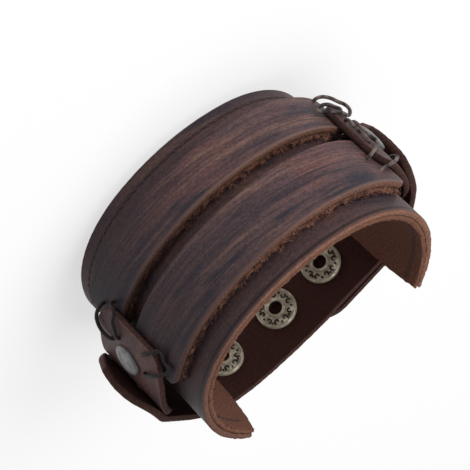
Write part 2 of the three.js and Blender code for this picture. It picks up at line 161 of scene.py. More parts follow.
def corner_inset(distance, radius):
    """How far a rounded corner stands in, at a distance from the blank's end."""
    if distance >= radius:
        return 0
    return radius - math.sqrt(max(radius**2 - (radius - max(distance, 0)) ** 2, 0))


def cut_leather(name, ends, edges, thickness, corners=(0, 0), pitch=0.9 * mm, ragged=0.12 * mm):
    """A flat blank with rounded edges: station along X, height along Y, grain side up, kept in the attributes
    cut (flat place), depth (0 flesh side, 1 grain side) and edge (distance from the outline)."""
    length = ends[1] - ends[0]
    widest = max(edges(s)[1] - edges(s)[0] for s in (ends[0], sum(ends) / 2, ends[1]))
    layers = 4
    edge_round = 0.3 * mm
    tear_scale = 900
    clean_cut = 0.2
    rim = 1e-4
    bpy.ops.object.select_all(action="DESELECT")
    bpy.ops.mesh.primitive_grid_add(
        x_subdivisions=round(length / pitch), y_subdivisions=round(widest / pitch), size=1)
    piece = bpy.context.object
    piece.name = name
    bpy.ops.object.mode_set(mode="EDIT")
    for _ in range(layers):
        bpy.ops.mesh.extrude_region_move(TRANSFORM_OT_translate={"value": (0, 0, 1 / layers)})
    bpy.ops.mesh.select_all(action="SELECT")
    bpy.ops.mesh.normals_make_consistent(inside=False)
    bpy.ops.object.mode_set(mode="OBJECT")
    mesh = piece.data
    for kept, kind in (("cut", "FLOAT_VECTOR"), ("depth", "FLOAT"), ("edge", "FLOAT")):
        mesh.attributes.new(kept, kind, "POINT")
    cut, depth, edge = (mesh.attributes[kept].data for kept in ("cut", "depth", "edge"))
    for vertex in mesh.vertices:
        share = vertex.co.x + 0.5
        station = ends[0] + length * share
        low, high = edges(station)
        inset = corner_inset(station - ends[0], corners[0]) + corner_inset(ends[1] - station, corners[1])
        across = vertex.co.y + 0.5
        height = low + inset + (high - low - 2 * inset) * across
        level = vertex.co.z
        shy = edge_round * (2 * level - 1) ** 2
        torn = ragged * noise.noise(Vector((station, height, level * thickness)) * tear_scale)
        shy += clean_cut * torn if across < rim else torn
        if share < rim:
            station += shy
        if share > 1 - rim:
            station -= shy
        if across < rim:
            height += shy
        if across > 1 - rim:
            height -= shy
        vertex.co = (station, height, level * thickness)
        cut[vertex.index].vector = vertex.co
        dyed = across < rim and level > 0.1
        depth[vertex.index].value = 1 if dyed else level
        edge[vertex.index].value = min(station - ends[0], ends[1] - station, high - inset - height)
    return piece


def bend(piece, face):
    """Wraps a flat blank round the loop, its flesh side on face(station, height)."""
    for vertex in piece.data.vertices:
        station, height, level = vertex.co
        vertex.co = loop_place(station, face(station, height) + level, height)
    piece.data.update()


def pick(piece):
    bpy.ops.object.select_all(action="DESELECT")
    piece.select_set(True)
    bpy.context.view_layer.objects.active = piece


def add_piece(piece, node, material):
    """Finishes a piece: its material, its body, and the solid that it takes the place of."""
    piece.data.materials.clear()
    piece.data.materials.append(material)
    pick(piece)
    bpy.ops.object.shade_smooth_by_angle(angle=math.radians(50))
    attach(piece, "root")
    if node:
        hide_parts(node)


def flare(station, height):
    """The base band's corners turn outwards near its ends."""
    along = max(abs(station) - flare_start, 0) / (base_half_length - flare_start)
    return corner_flare * along**2 * (abs(height - base_middle) / (base_high - base_middle)) ** 3


def add_node(tree, kind, inputs=(), **settings):
    made = tree.nodes.new(kind)
    for key, value in settings.items():
        setattr(made, key, value)
    for key, value in dict(inputs).items():
        if isinstance(value, bpy.types.NodeSocket):
            tree.links.new(value, made.inputs[key])
        else:
            made.inputs[key].default_value = value
    return made


def mix_colour(tree, factor, first, second, blend_type="MIX"):
    made = add_node(tree, "ShaderNodeMix", {0: factor, 6: first, 7: second},
                    data_type="RGBA", blend_type=blend_type)
    return made.outputs[2]


def spread(tree, value, low, high):
    """0 below low, 1 above high, smooth between."""
    made = add_node(tree, "ShaderNodeMapRange",
                    {"Value": value, "From Min": low, "From Max": high}, interpolation_type="SMOOTHSTEP")
    return made.outputs["Result"]


def maths(tree, operation, first, second=0.0, third=0.0):
    inputs = {0: first, 1: second, 2: third}
    return add_node(tree, "ShaderNodeMath", inputs, operation=operation).outputs[0]


def wandering_place(tree, place, skew, wander):
    """The flat place turned a little and bent by a broad noise, so that streaks aren't ruled lines."""
    broad = add_node(tree, "ShaderNodeTexNoise", {"Vector": place, "Scale": 55.0, "Detail": 1.0})
    centred = add_node(tree, "ShaderNodeVectorMath", {0: broad.outputs["Color"], 1: (0.5, 0.5, 0.5)},
                       operation="SUBTRACT")
    pushed = add_node(tree, "ShaderNodeVectorMath", {0: centred.outputs[0], 1: (0, wander, 0), 2: place},
                      operation="MULTIPLY_ADD")
    turned_place = add_node(tree, "ShaderNodeMapping",
                            {"Vector": pushed.outputs[0], "Rotation": (0, 0, skew)})
    return turned_place.outputs[0]


def stretched_noise(tree, place, scale, detail=3, roughness=0.6):
    mapped = add_node(tree, "ShaderNodeMapping", {"Vector": place, "Scale": scale})
    made = add_node(tree, "ShaderNodeTexNoise",
                    {"Vector": mapped.outputs[0], "Scale": 1.0, "Detail": detail, "Roughness": roughness})
    return made.outputs["Fac"]


def leather_finish(name, dark, main, warm, streak, raw, flesh, streak_share=1.0, worn=0.5 * mm, shine=0.55,
                   stud_shade_share=0.0, seams=(), sheen=0.2):
    """Pull-up leather: colours pulled along the strip in streaks, a raw cut edge and a suede flesh side.
    The shade share is how far a painted shade darkens the colour towards the stud side, and seams are heights
    with a painted shadow along a creased line."""
    material, tree, shader = new_material(name)
    place = add_node(tree, "ShaderNodeAttribute", attribute_name="cut").outputs["Vector"]
    depth = add_node(tree, "ShaderNodeAttribute", attribute_name="depth").outputs["Fac"]
    edge = add_node(tree, "ShaderNodeAttribute", attribute_name="edge").outputs["Fac"]

    pulled = wandering_place(tree, place, math.radians(3.5), 2.2 * mm)
    patches = stretched_noise(tree, pulled, (30, 110, 110), 3, 0.55)
    stains = stretched_noise(tree, place, (42, 90, 330), 2, 0.5)
    streaks = stretched_noise(tree, pulled, (26, 430, 300), 3, 0.62)
    fine = stretched_noise(tree, pulled, (55, 1900, 900), 2, 0.6)
    grain = stretched_noise(tree, place, (1300, 1900, 1900), 2, 0.7)
    nap = stretched_noise(tree, place, (1500, 1500, 1500), 4, 0.7)

    colour = mix_colour(tree, spread(tree, patches, 0.36, 0.50), dark, main)
    colour = mix_colour(tree, maths(tree, "MULTIPLY", spread(tree, stains, 0.50, 0.66), 0.8), colour, warm)
    light_streaks = maths(tree, "MULTIPLY", spread(tree, streaks, 0.50, 0.66), streak_share)
    colour = mix_colour(tree, light_streaks, colour, streak)
    dark_streaks = maths(tree, "MULTIPLY", spread(tree, streaks, 0.46, 0.34), 0.8 * streak_share)
    colour = mix_colour(tree, dark_streaks, colour, dark)
    thin_streaks = maths(tree, "MULTIPLY", spread(tree, fine, 0.56, 0.42), 0.6 * streak_share)
    colour = mix_colour(tree, thin_streaks, colour, dark)
    speckle = add_node(tree, "ShaderNodeMapRange", {"Value": grain, "From Min": 0.3, "From Max": 0.7,
                                                    "To Min": 0.62, "To Max": 1.38})
    colour = mix_colour(tree, 1.0, colour, speckle.outputs["Result"], "MULTIPLY")
    station, height, _ = add_node(tree, "ShaderNodeSeparateXYZ", {"Vector": place}).outputs
    # Painted shadow: a dark line along each seam's crease.
    seam_shadow = (0.020, 0.007, 0.007, 1)
    for seam in seams:
        away = maths(tree, "ABSOLUTE", maths(tree, "SUBTRACT", height, seam))
        crease = maths(tree, "MULTIPLY", spread(tree, away, 0.7 * mm, 0.15 * mm), 0.8)
        colour = mix_colour(tree, crease, colour, seam_shadow)
    ragged_wear = maths(tree, "MULTIPLY", maths(tree, "SUBTRACT", streaks, 0.5), 3 * worn)
    worn_edge = spread(tree, maths(tree, "ADD", edge, ragged_wear), 2 * worn, 0.3 * worn)
    colour = mix_colour(tree, maths(tree, "MULTIPLY", worn_edge, 0.7), colour, streak)

    nap_light = spread(tree, nap, 0.35, 0.65)
    shaded_raw = mix_colour(tree, nap_light, [c * 0.55 for c in raw[:3]] + [1], raw)
    shaded_flesh = mix_colour(tree, nap_light, [c * 0.62 for c in flesh[:3]] + [1], flesh)
    ragged_depth = maths(tree, "ADD", depth, maths(tree, "MULTIPLY", maths(tree, "SUBTRACT", nap, 0.5), 0.18))
    on_grain = spread(tree, ragged_depth, 0.86, 0.95)
    on_flesh = spread(tree, ragged_depth, 0.12, 0.04)
    # Painted shade: the colour and the raw edge darken towards the stud side, by the share given.
    if stud_shade_share:
        painted_shade_colour = (0.010, 0.008, 0.014, 1)
        shifted = maths(tree, "ADD", station, maths(tree, "MULTIPLY", patches, 60 * mm))
        shade_towards_stud = maths(tree, "MULTIPLY", spread(tree, shifted, 10 * mm, 74 * mm), stud_shade_share)
        colour = mix_colour(tree, shade_towards_stud, colour, painted_shade_colour)
        shaded_raw = mix_colour(tree, maths(tree, "MULTIPLY", shade_towards_stud, 0.7), shaded_raw, painted_shade_colour)
    colour = mix_colour(tree, on_grain, shaded_raw, colour)
    colour = mix_colour(tree, on_flesh, colour, shaded_flesh)
    shader.inputs["Specular IOR Level"].default_value = sheen
    tree.links.new(colour, shader.inputs["Base Color"])

    gloss = maths(tree, "MULTIPLY_ADD", streaks, 0.22, shine - 0.11)
    rough = add_node(tree, "ShaderNodeMix", {0: on_grain, 2: 0.92, 3: gloss})
    tree.links.new(rough.outputs[0], shader.inputs["Roughness"])

    relief = maths(tree, "ADD", maths(tree, "MULTIPLY", streaks, 0.5), maths(tree, "MULTIPLY", grain, 0.35))
    relief = maths(tree, "ADD", relief, maths(tree, "MULTIPLY", fine, 0.25))
    rough_relief = maths(tree, "MULTIPLY", nap, 1.3)
    relief_mix = add_node(tree, "ShaderNodeMix", {0: on_grain, 2: rough_relief, 3: relief})
    bump = add_node(tree, "ShaderNodeBump",
                    {"Strength": 0.55, "Distance": 0.25 * mm, "Height": relief_mix.outputs[0]})
    tree.links.new(bump.outputs[0], shader.inputs["Normal"])
    return material


outer_finish = leather_finish(
    "pull_up_leather", dark=(0.034, 0.023, 0.030, 1), main=(0.078, 0.041, 0.041, 1),
    warm=(0.110, 0.048, 0.038, 1), streak=(0.140, 0.072, 0.054, 1), raw=(0.300, 0.145, 0.098, 1),
    flesh=(0.10, 0.042, 0.028, 1), streak_share=0.5, stud_shade_share=0.5, seams=(3.5 * mm, 48.7 * mm))
lining_finish = leather_finish(
    "lining_leather", dark=(0.085, 0.034, 0.024, 1), main=(0.13, 0.056, 0.038, 1),
    warm=(0.17, 0.074, 0.050, 1), streak=(0.19, 0.090, 0.062, 1), raw=(0.22, 0.098, 0.060, 1),
    flesh=(0.16, 0.066, 0.043, 1), streak_share=0.2, shine=0.75)


def full_height(station):
    return base_low, base_high


base_ends = (cap_end_trim - base_half_length, base_half_length)
base_outer = cut_leather("base_outer_skin", base_ends, full_height, outer_leather, ragged=0.25 * mm)
bend(base_outer, lambda s, z: flare(s, z) - outer_leather)
add_piece(base_outer, "base_outer", outer_finish)
lining_foot = -outer_leather - layer_gap - lining_leather
lining_nap = 0.22 * mm
base_lining = cut_leather("base_lining_skin", base_ends, full_height, lining_leather + lining_nap,
                          ragged=0.3 * mm)
bend(base_lining, lambda s, z: flare(s, z) + lining_foot)
add_piece(base_lining, "base_lining", lining_finish)

# Stitching: a row of waxed dark red thread holds the two layers along the far edge, and a second row
# shows only inside, along the near edge. One stitch is modelled and copied along each row.
stitch_pitch = 2.7 * mm
stitch_length = 2.6 * mm
thread_radius = 0.27 * mm
stitch_slant = 0.12
stitch_sag = 0.28 * mm
bpy.ops.object.select_all(action="DESELECT")
bpy.ops.mesh.primitive_uv_sphere_add(segments=8, ring_count=6, radius=thread_radius)
stitch = bpy.context.object
bpy.ops.object.mode_set(mode="EDIT")
bpy.ops.transform.resize(value=(stitch_length / (2 * thread_radius), 1, 0.8))
bpy.ops.object.mode_set(mode="OBJECT")
thread_finish, thread_tree, thread_shader = new_material("waxed_thread")
thread_place = add_node(thread_tree, "ShaderNodeTexCoord").outputs["Object"]
thread_noise = stretched_noise(thread_tree, thread_place, (1800, 1800, 1800), 2)
thread_colour = mix_colour(thread_tree, spread(thread_tree, thread_noise, 0.4, 0.6),
                           (0.012, 0.005, 0.006, 1), (0.045, 0.014, 0.014, 1))
thread_tree.links.new(thread_colour, thread_shader.inputs["Base Color"])
thread_shader.inputs["Roughness"].default_value = 0.6


def add_object(name, data):
    made = bpy.data.objects.new(name, data)
    bpy.context.scene.collection.objects.link(made)
    return made


def stitch_row(name, stations, height, level, face):
    """Copies the stitch along a row; every stitch dips into the leather at both ends."""
    rows = bmesh.new()
    count = int((stations[1] - stations[0]) / stitch_pitch)
    for k in range(count + 1):
        copied = bmesh.new()
        copied.from_mesh(stitch.data)
        slant = stitch_slant * math.sin(7.3 * k)
        for vertex in copied.verts:
            along, across, up = vertex.co
            sag = stitch_sag * (2 * along / stitch_length) ** 2
            s = stations[0] + k * stitch_pitch + along
            z = height + across + slant * along
            vertex.co = loop_place(s, face(s, z) + level + up - sag, z)
        made = bpy.data.meshes.new("stitch_copy")
        copied.to_mesh(made)
        rows.from_mesh(made)
        bpy.data.meshes.remove(made)
        copied.free()
    mesh = bpy.data.meshes.new(name)
    rows.to_mesh(mesh)
    rows.free()
    add_piece(add_object(name, mesh), None, thread_finish)


stitched = (3 * mm - base_half_length, base_half_length - 3 * mm)
far_row = base_low + 3.5 * mm
near_row = base_high - 3 * mm
stitch_row("stitches_far", stitched, far_row, 0.02 * mm, flare)
stitch_row("stitches_far_inside", stitched, far_row, lining_foot, flare)
stitch_row("stitches_near_inside", stitched, near_row, lining_foot, flare)
bpy.data.objects.remove(stitch)

# Raised bands: two strips lie along the crown, each a backing and a top leather with rounded corners.
# Their near edges are torn raw, so they show the light core of the hide and its fibres.
band_half_length = 44 * mm
band_leather = 1.8 * mm
band_backing = 1.4 * mm
band_corner = 3 * mm
band_base = layer_gap + band_backing + layer_gap
band_top = band_base + band_leather
band_ends = (-band_half_length, band_half_length)
band_finish = leather_finish(
    "band_leather", dark=(0.026, 0.021, 0.031, 1), main=(0.101, 0.056, 0.057, 1),
    warm=(0.140, 0.062, 0.057, 1), streak=(0.200, 0.110, 0.086, 1), raw=(0.200, 0.096, 0.066, 1),
    flesh=(0.12, 0.05, 0.033, 1), streak_share=0.75, worn=0.7 * mm, stud_shade_share=0.8)
for band in ("band_far", "band_near"):
    low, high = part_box(band)[0].z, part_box(band)[1].z
    corners = (band_corner, band_corner)
    backing = cut_leather(f"{band}_backing_skin", band_ends, lambda s: (low, high), band_backing, corners,
                          pitch=0.8 * mm, ragged=0.5 * mm)
    bend(backing, lambda s, z: layer_gap)
    add_piece(backing, f"{band}_backing", lining_finish)
    top = cut_leather(f"{band}_skin", band_ends, lambda s: (low, high), band_leather, corners, pitch=0.7 * mm)
    bend(top, lambda s, z: band_base)
    add_piece(top, band, band_finish)

# Fray: loose fibres stand out of the torn near edges of the bands' backings and of the lining's near edge.
# Each fibre is a thin curved spike; they come in tufts, longer where a noise along the edge is high.
def fibre_finish(name, root, stud_side_shaded_tip, tip_cap_side):
    """Loose fibre, matt, mottled between two browns, with a painted shade that darkens it towards the stud
    side.
    """
    material, tree, shader = new_material(name)
    place = add_node(tree, "ShaderNodeTexCoord").outputs["Object"]
    mottle = stretched_noise(tree, place, (700, 700, 700), 2)
    side = add_node(tree, "ShaderNodeSeparateXYZ", {"Vector": place}).outputs["X"]
    # Painted shade: the tip colour darkens from the cap side towards the stud side.
    tip = mix_colour(tree, spread(tree, side, 24 * mm, -14 * mm), stud_side_shaded_tip, tip_cap_side)
    colour = mix_colour(tree, spread(tree, mottle, 0.38, 0.62), root, tip)
    tree.links.new(colour, shader.inputs["Base Color"])
    shader.inputs["Roughness"].default_value = 0.95
    return material


torn_fibre = fibre_finish("torn_fibre", (0.048, 0.020, 0.016, 1), (0.060, 0.028, 0.024, 1),
                          (0.420, 0.200, 0.140, 1))
# Near-black fibre, a painted shade for the dark groove between the bands.
groove_shade_fibre = fibre_finish("groove_shade_fibre", (0.012, 0.006, 0.005, 1), (0.020, 0.010, 0.008, 1),
                           (0.045, 0.020, 0.015, 1))

bpy.ops.object.select_all(action="DESELECT")
bpy.ops.mesh.primitive_cone_add(vertices=3, radius1=1, radius2=0, depth=1, location=(0, 0, 0.5))
fibre = bpy.context.object
bpy.ops.object.mode_set(mode="EDIT")
bpy.ops.mesh.bisect(plane_co=(0, 0, 0.5), plane_no=(0, 0, 1))
bpy.ops.object.mode_set(mode="OBJECT")
fibre_points = [vertex.co + fibre.location for vertex in fibre.data.vertices]
fibre_faces = [tuple(face.vertices) for face in fibre.data.polygons]
bpy.data.objects.remove(fibre)


def fray(name, stations, height, levels, reach, count, seed, face=lambda s, z: 0.0, thickest=0.13 * mm,
         finish=torn_fibre):
    """Copies the fibre along an edge; each one leans, curls and has its own length and thickness."""
    chance = random.Random(seed)
    points, faces = [], []
    for _ in range(count):
        s = chance.uniform(*stations)
        tuft = max(0.25, min(1.3, 0.75 + 1.6 * noise.noise(Vector((s * 420, seed, 0)))))
        length = reach * tuft * chance.triangular(0.3, 1.1, 0.6)
        root = Vector((s, height - 0.25 * mm, chance.uniform(*levels)))
        lean = Vector((chance.gauss(0, 0.55), 1, chance.gauss(0.05, 0.4))).normalized()
        curl = Vector((chance.gauss(0, 0.5), 0, chance.gauss(-0.1, 0.4))) * length
        thick = chance.uniform(0.05 * mm, thickest)
        faces += [tuple(len(points) + k for k in face_points) for face_points in fibre_faces]
        for point in fibre_points:
            flat = root + lean * length * point.z + curl * point.z**2 + Vector((point.x, 0, point.y)) * thick
            points.append(loop_place(flat.x, face(flat.x, flat.y) + flat.z, flat.y))
    mesh = bpy.data.meshes.new(name)
    mesh.from_pydata(points, [], faces)
    piece = add_object(name, mesh)
    pick(piece)
    bpy.ops.object.mode_set(mode="EDIT")
    bpy.ops.mesh.select_all(action="SELECT")
    bpy.ops.mesh.normals_make_consistent(inside=False)
    bpy.ops.object.mode_set(mode="OBJECT")
    add_piece(piece, None, finish)


frayed = (1.2 * mm - band_half_length, band_half_length - 1.2 * mm)
backing_levels = (layer_gap + 0.1 * mm, layer_gap + band_backing)
for band, seed in (("band_far", 3), ("band_near", 8)):
    near_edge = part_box(band)[1].z
    fray(f"{band}_fray", frayed, near_edge, backing_levels, 1.8 * mm, 1900, seed, thickest=0.2 * mm)
    fray(f"{band}_fuzz", frayed, near_edge, (band_base, band_base + 0.9 * mm), 0.5 * mm, 900, seed + 1)
# The groove fray is near black: painted shade filling the groove under the far band's cap-side end.
groove_end = (-band_half_length, 6.5 * mm - band_half_length)
fray("groove_fray", groove_end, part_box("band_far")[1].z, (layer_gap, band_base), 4.4 * mm, 420, 17,
     thickest=0.35 * mm, finish=groove_shade_fibre)
lining_levels = (lining_foot, lining_foot + 0.5 * mm)
fray("lining_fray", base_ends, base_high, lining_levels, 0.5 * mm, 1300, 21, flare)

# Closure straps: two tapered leather straps lap over each other across the palm. Each begins as a free
# rounded tongue that stands off its tab. A row is a share of the half loop, and the inner face's offset
# there as a share of strap_reach.
strap_leather = 2 * mm
strap_reach = 6.4 * mm
strap_settle = 8 * mm
strap_pitch = strap_leather + 1.1 * mm
tongue_top = 54 * mm
tongue_width = 25.4 * mm
tongue_corner = 6 * mm
stud_side_bow = 3.3 * mm
cap_side_bow = 2.3 * mm
bow_length = 6.8 * mm
palm_width = 23.8 * mm
stud_side_taper = (54 * mm, 70 * mm)
cap_side_taper = (66 * mm, 84 * mm)
stud_side_lift = 2.1 * mm
inner_strap_end = 146 * mm
inner_tip_radius = 5 * mm
outer_tip_radius = 9 * mm
outer_strap_tip = 115.5 * mm
inner_strap_rows = [
    (0.487, 0.99), (0.541, 0.97), (0.595, 0.85), (0.649, 0.74), (0.703, 0.665), (0.757, 0.53),
    (0.82, 0.17), (0.91, -0.24), (0.992, -0.38), (1.068, -0.55), (1.118, -0.64), (1.167, -0.57),
    (1.217, -0.32), (1.273, 0.09), (1.325, 0.13),
]
outer_strap_rows = [(1.379, 0.53), (1.424, 0.6), (1.469, 0.73), (1.514, 0.88)]


def smooth_table(rows):
    """A smooth curve through rows of place and value, level beyond its ends."""
    at = [row[0] for row in rows]
    value = [row[1] for row in rows]
    chord = [(value[i + 1] - value[i]) / (at[i + 1] - at[i]) for i in range(len(rows) - 1)]
    slope = [chord[0]] + [(a + b) / 2 for a, b in zip(chord, chord[1:])] + [chord[-1]]

    def curve(s):
        i = 0
        while i < len(at) - 2 and s > at[i + 1]:
            i += 1
        width = at[i + 1] - at[i]
        t = min(max((s - at[i]) / width, 0), 1)
        rise = value[i] * (1 + 2 * t) * (1 - t) ** 2 + value[i + 1] * t * t * (3 - 2 * t)
        return rise + width * (slope[i] * t * (1 - t) ** 2 - slope[i + 1] * t * t * (1 - t))

    return curve


inner_rows = [(along * half_loop, share * strap_reach) for along, share in inner_strap_rows]
lapped_rows = [(s, offset + strap_pitch) for s, offset in inner_rows if s > outer_strap_tip - strap_settle]
outer_rows = [(along * half_loop, share * strap_reach) for along, share in outer_strap_rows]
inner_face = smooth_table(inner_rows)
outer_face = smooth_table(lapped_rows + outer_rows)


def tab_middle(station):
    return base_middle + (stud_side_lift if station > 0 else 0)


def taper(station):
    start, end = stud_side_taper if station > 0 else cap_side_taper
    t = min(max((abs(station) - start) / (end - start), 0), 1)
    return t * t * (3 - 2 * t)


def strap_middle(station):
    return tab_middle(station) + (base_middle - tab_middle(station)) * taper(station)


def bow(station, height):
    down = min(max((abs(station) - tongue_top) / bow_length, 0), 1)
    across = (height - strap_middle(station)) / (tongue_width / 2)
    return (stud_side_bow if station > 0 else cap_side_bow) * (1 - down) ** 2 * (1 - across**2)


def strap_edges(station):
    half = (tongue_width + (palm_width - tongue_width) * taper(station)) / 2
    return strap_middle(station) - half, strap_middle(station) + half


strap_finish = leather_finish(
    "strap_leather", dark=(0.034, 0.021, 0.024, 1), main=(0.074, 0.036, 0.036, 1),
    warm=(0.100, 0.044, 0.038, 1), streak=(0.12, 0.060, 0.048, 1), raw=(0.075, 0.036, 0.029, 1),
    flesh=(0.052, 0.018, 0.014, 1), streak_share=0.3)
inner_strap = cut_leather("inner_strap_skin", (tongue_top, inner_strap_end), strap_edges, strap_leather,
                          (tongue_corner, inner_tip_radius))
bend(inner_strap, lambda s, z: inner_face(s) + bow(s, z))
add_piece(inner_strap, "inner_strap", strap_finish)
outer_strap = cut_leather("outer_strap_skin", (outer_strap_tip, loop - tongue_top),
                          lambda s: strap_edges(s - loop), strap_leather, (outer_tip_radius, tongue_corner))
bend(outer_strap, lambda s, z: outer_face(s) + bow(s - loop, z))
add_piece(outer_strap, "outer_strap", strap_finish)

# Tabs: a short strap on each side lies over the bands' ends, dips under its rivet and runs down behind
# the closure strap that it carries.
tab_width = 24.6 * mm
tab_leather = 1.8 * mm
tab_start = 38 * mm
tab_end = 65.5 * mm
tab_meets_strap = 57 * mm
tab_corner = 5.5 * mm
tab_end_corner = 9 * mm
rivet_station = 47.4 * mm
rivet_sink = 0.5 * mm
anchor_station = 61.5 * mm
over_band = band_top + layer_gap
sides = [
    {"name": "stud_side", "sign": 1, "face": inner_face},
    {"name": "cap_side", "sign": -1, "face": lambda s: outer_face(loop + s)},
]


def tab_edges(station):
    return tab_middle(station) - tab_width / 2, tab_middle(station) + tab_width / 2


for side in sides:
    under_strap = [
        (s, side["face"](side["sign"] * s) - layer_gap - tab_leather)
        for s in (tab_meets_strap, anchor_station, tab_end)
    ]
    side["tab_face"] = smooth_table([
        (tab_start, over_band), (band_half_length, over_band),
        (rivet_station, over_band - rivet_sink), *under_strap,
    ])
    ends = sorted((side["sign"] * tab_start, side["sign"] * tab_end))
    corners = (tab_corner, tab_end_corner)[::side["sign"]]
    tab = cut_leather(f"tab_{side['name']}_skin", ends, tab_edges, tab_leather, corners, pitch=0.6 * mm)
    bend(tab, lambda s, z: side["tab_face"](abs(s)))
    add_piece(tab, f"tab_{side['name']}", strap_finish)

# Rivets: a domed antique pewter cap on each tab, a post through tab and base, and a flat head inside.
# They are turned shapes: a ring is drawn up and scaled along a profile of radius and height.
def turned(name, profile, sides_round=48):
    """A closed turned shape round Z, from its first ring up to its last."""
    bpy.ops.object.select_all(action="DESELECT")
    bpy.ops.mesh.primitive_circle_add(vertices=sides_round, radius=profile[0][0], location=(0, 0, 0))
    piece = bpy.context.object
    piece.name = name
    bpy.ops.object.mode_set(mode="EDIT")
    bpy.ops.transform.translate(value=(0, 0, profile[0][1]))
    bpy.ops.mesh.extrude_region_move()
    bpy.ops.mesh.merge(type="CENTER")
    bpy.ops.mesh.select_mode(type="EDGE")
    bpy.ops.mesh.select_all(action="DESELECT")
    bpy.ops.mesh.select_non_manifold()
    for (r0, h0), (r1, h1) in zip(profile, profile[1:]):
        bpy.ops.mesh.extrude_region_move(TRANSFORM_OT_translate={"value": (0, 0, h1 - h0)})
        bpy.ops.transform.resize(value=(r1 / r0, r1 / r0, 1), center_override=(0, 0, 0))
    bpy.ops.mesh.extrude_region_move()
    bpy.ops.mesh.merge(type="CENTER")
    bpy.ops.mesh.select_all(action="SELECT")
    bpy.ops.mesh.normals_make_consistent(inside=False)
    bpy.ops.object.mode_set(mode="OBJECT")
    return piece


def seat(piece, station, height, face):
    """Turns a piece whose own height is Z square to the loop, and moves its foot onto face."""
    step = 0.5 * mm
    before = loop_place(station - step, face(station - step), 0)
    along = (loop_place(station + step, face(station + step), 0) - before).normalized()
    outwards = Vector((along.y, -along.x, 0))
    up = outwards.cross(along)
    turn = Matrix((along, up, outwards)).transposed().to_4x4()
    turn.translation = loop_place(station, face(station), height)
    piece.data.transform(turn)


def metal_finish(name, bright, tarnish, share, roughness):
    """Antique metal: clouds of tarnish over about that share of it, rougher there, and fine scratches."""
    material, tree, shader = new_material(name)
    place = add_node(tree, "ShaderNodeTexCoord").outputs["Object"]
    clouds = stretched_noise(tree, place, (520, 520, 520), 4, 0.65)
    scratches = stretched_noise(tree, place, (900, 900, 5200), 3, 0.7)
    tarnished = spread(tree, maths(tree, "ADD", clouds, maths(tree, "MULTIPLY", scratches, 0.25)),
                       share + 0.14, share - 0.06)
    tree.links.new(mix_colour(tree, tarnished, bright, tarnish), shader.inputs["Base Color"])
    shader.inputs["Metallic"].default_value = 0.55
    rough = maths(tree, "MULTIPLY_ADD", tarnished, 0.3, roughness)
    tree.links.new(rough, shader.inputs["Roughness"])
    bump = add_node(tree, "ShaderNodeBump", {"Strength": 0.35, "Distance": 0.06 * mm, "Height": scratches})
    tree.links.new(bump.outputs[0], shader.inputs["Normal"])
    return material


pewter_finish = metal_finish("antique_pewter", (0.19, 0.185, 0.19, 1), (0.155, 0.15, 0.155, 1), 0.55, 0.42)
rivet_cap_radius = 4.3 * mm
rivet_cap_foot = 0.1 * mm
rivet_rim = 0.75 * mm
rivet_dome = 1.7 * mm
post_radius = 1.5 * mm
rivet_head_radius = 3.4 * mm
rivet_head = 0.8 * mm
head_seat = 0.6 * mm
anchor_head_radius = 2.8 * mm
anchor_head = 0.5 * mm
for side in sides:
    tab_top = side["tab_face"](rivet_station) + tab_leather
    head_top = lining_foot - head_seat - tab_top
    dome = [
        (rivet_cap_radius * math.cos(a), rivet_rim + (rivet_dome - rivet_rim) * math.sin(a))
        for a in (math.radians(d) for d in (8, 18, 30, 44, 58, 72, 82))
    ]
    rivet = turned(f"rivet_{side['name']}_cap", [
        (rivet_head_radius - 0.3 * mm, head_top - rivet_head),
        (rivet_head_radius, head_top - rivet_head + 0.2 * mm),
        (rivet_head_radius, head_top),
        (post_radius, head_top),
        (post_radius, rivet_cap_foot),
        (rivet_cap_radius - 0.12 * mm, rivet_cap_foot),
        (rivet_cap_radius, rivet_cap_foot + 0.15 * mm),
        (rivet_cap_radius, rivet_rim),
        *dome,
    ])
    seat(rivet, side["sign"] * rivet_station, tab_middle(side["sign"]), lambda s: tab_top)
    add_piece(rivet, f"rivet_{side['name']}", pewter_finish)

    anchor_foot = -layer_gap - tab_leather - head_seat
    anchor_top = strap_leather + 0.08 * mm
    anchor = turned(f"anchor_{side['name']}_pin", [
        (anchor_head_radius - 0.2 * mm, anchor_foot - anchor_head),
        (anchor_head_radius, anchor_foot - anchor_head + 0.15 * mm),
        (anchor_head_radius, anchor_foot),
        (post_radius, anchor_foot),
        (post_radius, anchor_top),
        (anchor_head_radius, anchor_top),
        (anchor_head_radius, anchor_top + 0.4 * mm),
        (anchor_head_radius * 0.7, anchor_top + 0.65 * mm),
        (anchor_head_radius * 0.3, anchor_top + 0.75 * mm),
    ])
    seat(anchor, side["sign"] * anchor_station, tab_middle(side["sign"]), side["face"])
    add_piece(anchor, f"anchor_rivet_{side['name']}", pewter_finish)

